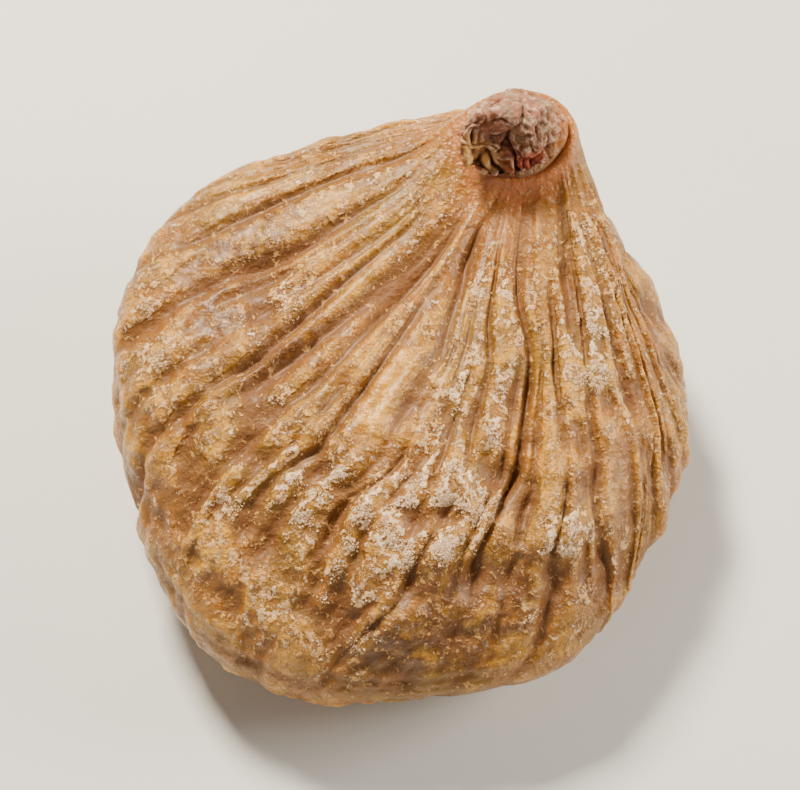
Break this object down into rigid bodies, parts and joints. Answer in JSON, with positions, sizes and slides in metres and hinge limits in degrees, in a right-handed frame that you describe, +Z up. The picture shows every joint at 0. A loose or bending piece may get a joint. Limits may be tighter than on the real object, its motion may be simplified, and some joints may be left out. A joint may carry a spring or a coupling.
{
  "type": "dried fig",
  "caption": "Whole dried fig: a pressed, pleated fruit with its short woody stem stub, lying on a flat spot of its belly.",
  "frame": {"origin": "centre of the bounding box at the surface the fig lies on", "axes": "+Z up from that surface, +Y from the front of the fruit to the stem's side, +X to the right"},
  "size_m": [0.0454, 0.0474, 0.0271],
  "materials": {
    "fruit": "matt to waxy tan skin with a whitish sugar bloom",
    "stem": "rough dark bark with a broken, fibrous end"
  },
  "bodies": {
    "root": {"fruit": "fruit", "stem": "stem"}
  },
  "joints": []
}
